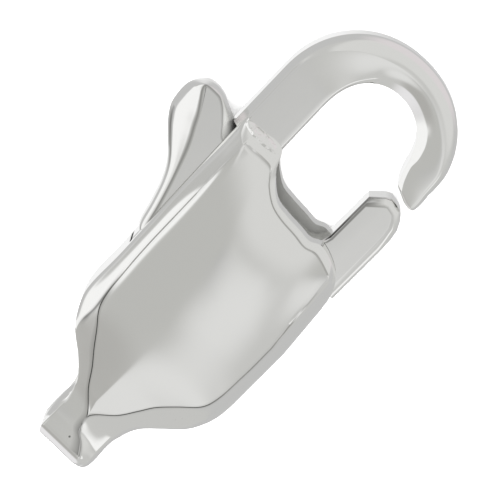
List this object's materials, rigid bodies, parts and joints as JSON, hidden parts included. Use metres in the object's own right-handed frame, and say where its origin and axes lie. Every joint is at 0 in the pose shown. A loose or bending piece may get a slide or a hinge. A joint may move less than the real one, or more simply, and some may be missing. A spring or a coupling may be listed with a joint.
{
  "type": "lobster clasp",
  "caption": "Cast white-metal lobster clasp: crowned body with hook and tail eye, and a sprung trigger with thumb lug and gate that swings open on a hidden pin.",
  "frame": {"origin": "centre of the tail eye, on the clasp's middle plane", "axes": "+X along the clasp from the tail to the hook, +Y towards the side with the thumb lug and along the tail eye's hole, +Z out of the front face"},
  "size_m": [0.016, 0.0078, 0.0034],
  "materials": {
    "body": "polished cast white metal",
    "trigger": "polished cast white metal",
    "pin": "drawn wire, hidden in the cheeks",
    "spring": "bright spring strip, hidden in the slot"
  },
  "bodies": {
    "body": {"body": "body", "pivot_pin": "pin", "spring": "spring"},
    "trigger": {"trigger": "trigger"}
  },
  "joints": [
    {"name": "trigger_pivot", "type": "hinge", "parent": "body", "child": "trigger", "pos_m": [0.00645, 0.0005, 0], "axis": [0, 0, 1], "range_deg": [0, 25], "stiffness_Nm_per_rad": 0.01, "springref_deg": -34.38, "deforming": ["spring"]}
  ]
}
